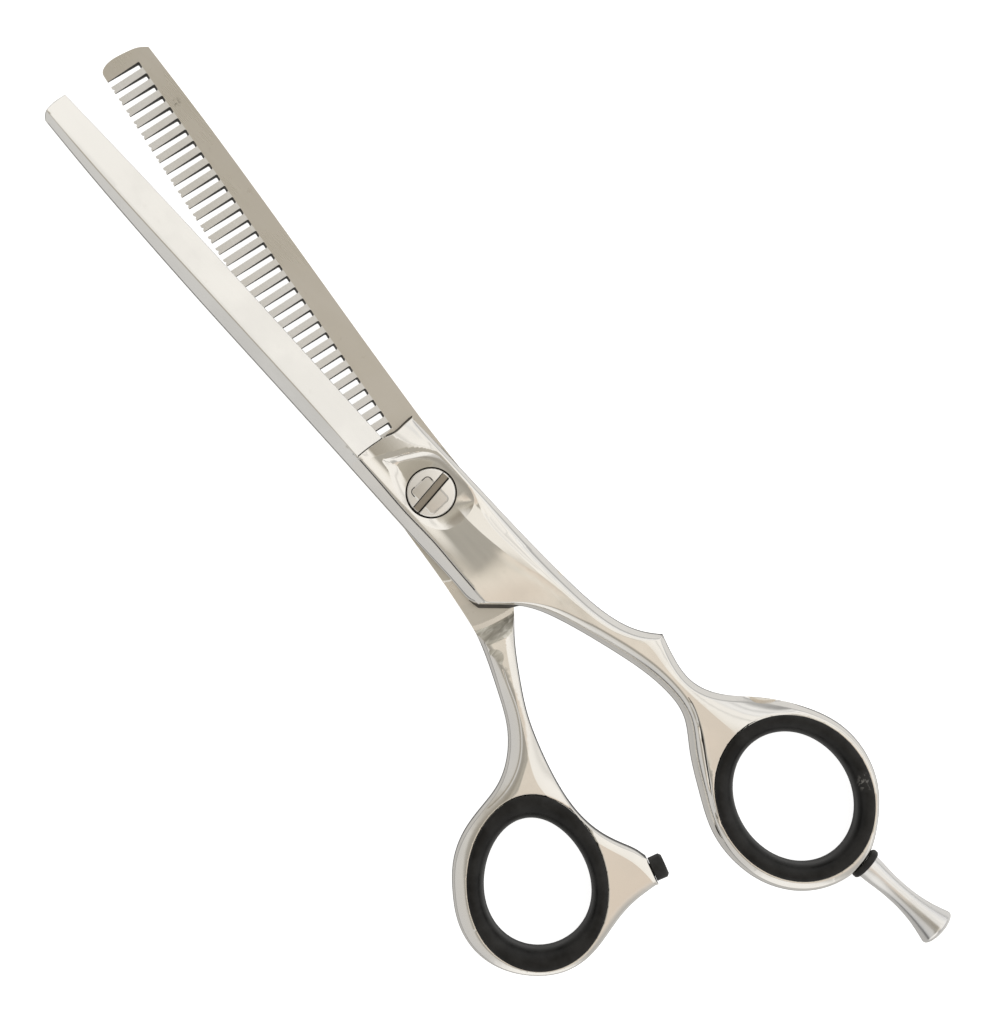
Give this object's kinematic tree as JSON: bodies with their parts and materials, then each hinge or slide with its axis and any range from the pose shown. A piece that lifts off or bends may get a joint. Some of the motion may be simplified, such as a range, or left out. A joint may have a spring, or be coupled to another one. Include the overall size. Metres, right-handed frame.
{
  "type": "hairdressing thinning shears",
  "caption": "Steel thinning shears with one plain and one toothed blade, a slotted tension screw, black ring inserts, a bumper and a finger rest.",
  "frame": {"origin": "on the pivot axis, in the flat underside of the pivot nut, which is the plane the shears lie on", "axes": "+X along the plain blade towards its tip, +Y towards the thumb ring, +Z along the pivot axis towards the slotted screw head"},
  "size_m": [0.1812, 0.0633, 0.0072],
  "materials": {
    "polished_steel": "polished",
    "satin_steel": "satin",
    "spring_steel": "plain",
    "black_rubber": "satin",
    "nylon": "natural"
  },
  "bodies": {
    "plain_half": {"plain_blade_handle": "polished_steel", "finger_ring_insert": "black_rubber", "finger_rest_washer": "black_rubber", "head_washer": "spring_steel", "disc_spring": "spring_steel"},
    "toothed_half": {"toothed_blade_handle": "satin_steel", "thumb_ring_insert": "black_rubber", "bumper": "black_rubber", "pivot_nut": "polished_steel", "lock_plug": "nylon", "blade_washer": "nylon"},
    "screw": {"tension_screw": "polished_steel"},
    "rest": {"finger_rest": "polished_steel"}
  },
  "joints": [
    {"name": "blade_pivot", "type": "hinge", "parent": "plain_half", "child": "toothed_half", "pos_m": [0, 0, 0.0036], "axis": [0, 0, 1], "range_deg": [-90, 7.4]},
    {"name": "screw_turn", "type": "hinge", "parent": "toothed_half", "child": "screw", "pos_m": [0, 0, 0.0036], "axis": [0, 0, 1], "range_deg": [-45, 45]},
    {"name": "finger_rest_turn", "type": "hinge", "parent": "plain_half", "child": "rest", "pos_m": [-0.08475, -0.00995, 0.0036], "axis": [-0.9955, -0.095, 0], "range_deg": [0, 360]}
  ]
}
